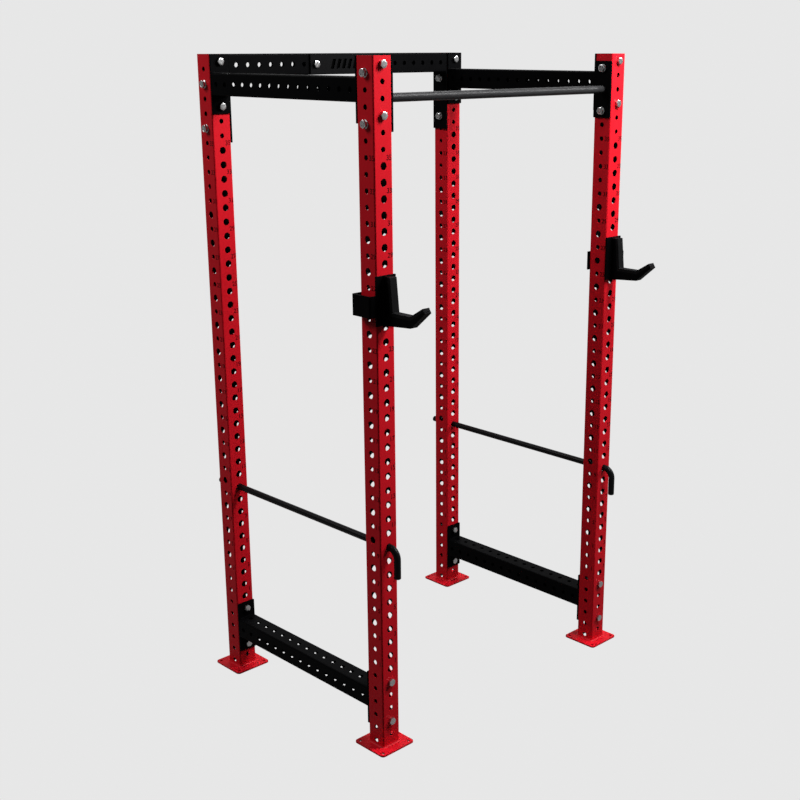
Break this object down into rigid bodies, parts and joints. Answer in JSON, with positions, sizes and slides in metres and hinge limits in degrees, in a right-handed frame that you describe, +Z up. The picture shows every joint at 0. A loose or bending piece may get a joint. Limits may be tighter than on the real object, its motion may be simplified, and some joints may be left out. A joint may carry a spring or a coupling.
{
  "type": "power cage",
  "caption": "Bolted power cage of drilled square uprights and beams, with a pull-up bar, bent safety rods and a pair of J-cups.",
  "frame": {"origin": "centre of the footprint, on the floor, midway between the four uprights", "axes": "+Z up; +Y from the front uprights, with the J-cups and the pull-up bar, to the rear ones; +X to the right as seen from the front"},
  "size_m": [1.3208, 1.1672, 2.3622],
  "materials": {
    "red_powder_coat": "satin powder coat",
    "black_powder_coat": "satin powder coat",
    "nameplate_coat": "fine-textured powder coat",
    "bar_steel": "satin",
    "rod_coat": "satin black",
    "zinc_plate": "bright zinc",
    "liner_plastic": "machined polyethylene"
  },
  "bodies": {
    "cage": {"upright_front_left": "red_powder_coat", "upright_front_right": "red_powder_coat", "upright_rear_left": "red_powder_coat", "upright_rear_right": "red_powder_coat", "foot_plate_front_left": "red_powder_coat", "foot_plate_front_right": "red_powder_coat", "foot_plate_rear_left": "red_powder_coat", "foot_plate_rear_right": "red_powder_coat", "top_beam_left": "black_powder_coat", "top_beam_right": "black_powder_coat", "bottom_beam_left": "black_powder_coat", "bottom_beam_right": "black_powder_coat", "top_beam_left_end_plates": "black_powder_coat", "top_beam_right_end_plates": "black_powder_coat", "bottom_beam_left_end_plates": "black_powder_coat", "bottom_beam_right_end_plates": "black_powder_coat", "rear_crossmember": "black_powder_coat", "rear_crossmember_end_plates": "black_powder_coat", "nameplate": "nameplate_coat", "pull_up_bar": "bar_steel", "pull_up_bar_end_plates": "black_powder_coat", "side_beam_bolts": "zinc_plate", "side_beam_washers": "zinc_plate", "side_beam_nuts": "zinc_plate", "crossmember_bolts": "zinc_plate", "crossmember_washers": "zinc_plate", "crossmember_nuts": "zinc_plate", "pull_up_bar_bolts": "zinc_plate", "pull_up_bar_washers": "zinc_plate", "pull_up_bar_nuts": "zinc_plate", "nameplate_bolts": "zinc_plate", "nameplate_washers": "zinc_plate", "nameplate_nuts": "zinc_plate"},
    "safety_rod_left": {"safety_rod_left": "rod_coat"},
    "safety_rod_right": {"safety_rod_right": "rod_coat"},
    "j_cup_left": {"j_cup_left_bracket": "black_powder_coat", "j_cup_left_hook": "black_powder_coat", "j_cup_left_liner": "liner_plastic", "j_cup_left_pin": "black_powder_coat", "j_cup_left_screws": "zinc_plate"},
    "j_cup_right": {"j_cup_right_bracket": "black_powder_coat", "j_cup_right_hook": "black_powder_coat", "j_cup_right_liner": "liner_plastic", "j_cup_right_pin": "black_powder_coat", "j_cup_right_screws": "zinc_plate"}
  },
  "joints": [
    {"name": "safety_rod_left_slide", "type": "slide", "parent": "cage", "child": "safety_rod_left", "axis": [0, -1, 0], "range_m": [0, 1]},
    {"name": "safety_rod_right_slide", "type": "slide", "parent": "cage", "child": "safety_rod_right", "axis": [0, -1, 0], "range_m": [0, 1]},
    {"name": "j_cup_left_slide", "type": "slide", "parent": "cage", "child": "j_cup_left", "axis": [-1, 0, 0], "range_m": [0, 0.11]},
    {"name": "j_cup_right_slide", "type": "slide", "parent": "cage", "child": "j_cup_right", "axis": [1, 0, 0], "range_m": [0, 0.11]}
  ]
}
